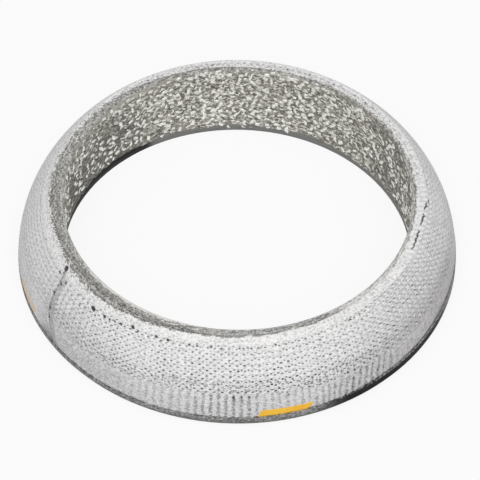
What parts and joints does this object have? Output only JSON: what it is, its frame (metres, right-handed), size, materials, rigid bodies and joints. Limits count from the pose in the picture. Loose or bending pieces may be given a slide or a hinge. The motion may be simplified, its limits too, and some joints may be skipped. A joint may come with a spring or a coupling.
{
  "type": "exhaust ring gasket",
  "caption": "Convex exhaust ring gasket: a pressed graphite and wire ring with a white-coated knitted wire facing on its rounded seat.",
  "frame": {"origin": "centre of the flat face that rests on the pipe's flange", "axes": "+Z is the ring's axis, from the flat face towards the small end of the convex seat; +X and +Y are in the flat face, with the facing's seam at 210 degrees from +X towards +Y"},
  "size_m": [0.076, 0.076, 0.016],
  "materials": {
    "graphite": "matt graphite pressed together with bright crimped wire",
    "coated_knit": "knitted wire, pressed and coated white, matt"
  },
  "bodies": {
    "root": {"graphite_core": "graphite", "knit_facing": "coated_knit"}
  },
  "joints": []
}
